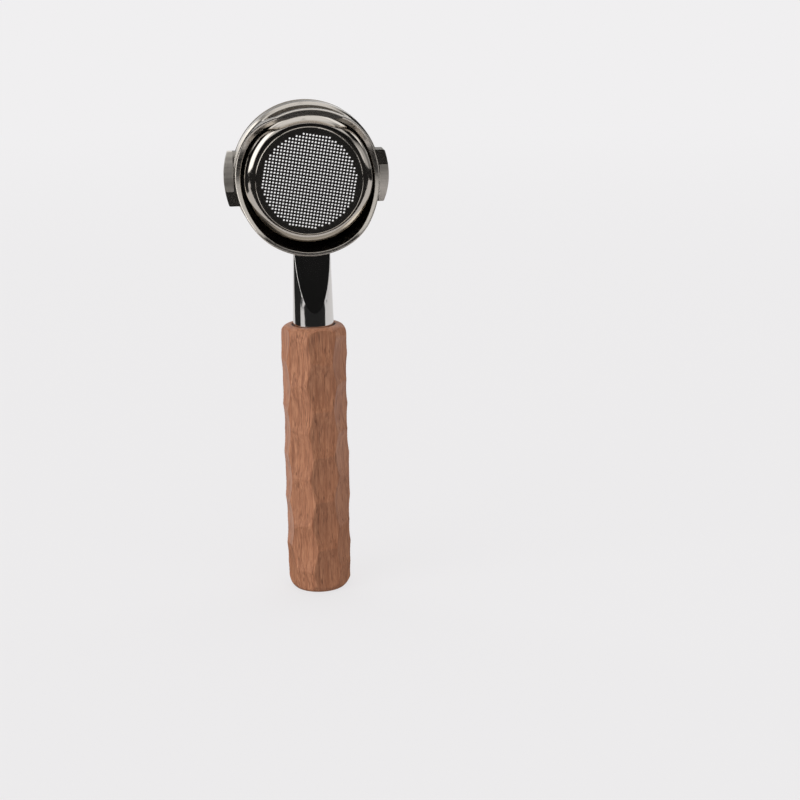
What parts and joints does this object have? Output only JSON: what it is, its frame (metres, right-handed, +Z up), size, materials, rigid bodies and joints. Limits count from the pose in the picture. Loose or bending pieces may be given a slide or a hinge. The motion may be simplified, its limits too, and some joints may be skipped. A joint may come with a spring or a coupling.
{
  "type": "bottomless portafilter",
  "caption": "Bottomless portafilter for a 58 mm coffee group: open steel head with locking lugs and foot arch, polished neck, perforated basket and carved walnut handle.",
  "frame": {"origin": "centre of the handle's flat end, on the surface it stands on", "axes": "+Z up along the handle to the head, -Y out of the head's open side, +Y to the coffee side, +X to the viewer's right facing the open side"},
  "size_m": [0.0782, 0.0407, 0.2358],
  "materials": {
    "satin_steel": "satin nickel-toned stainless with fine turning lines",
    "polished_neck": "mirror polished",
    "basket_steel": "drawn and polished stainless sheet",
    "spring_steel": "bright drawn wire",
    "stud_steel": "plain machined",
    "insert_brass": "machined brass",
    "seal_rubber": "matt black rubber",
    "walnut": "oiled walnut with shallow carved flats"
  },
  "bodies": {
    "holder": {"portafilter_head": "satin_steel", "neck": "polished_neck", "neck_seal": "seal_rubber", "lock_washer": "spring_steel", "handle_stud": "stud_steel", "threaded_insert": "insert_brass", "handle_grip": "walnut", "retaining_spring": "spring_steel"},
    "basket": {"filter_basket": "basket_steel"}
  },
  "joints": [
    {"name": "basket_lift", "type": "slide", "parent": "holder", "child": "basket", "axis": [0, 0.9976, 0.0698], "range_m": [0, 0.04]}
  ]
}
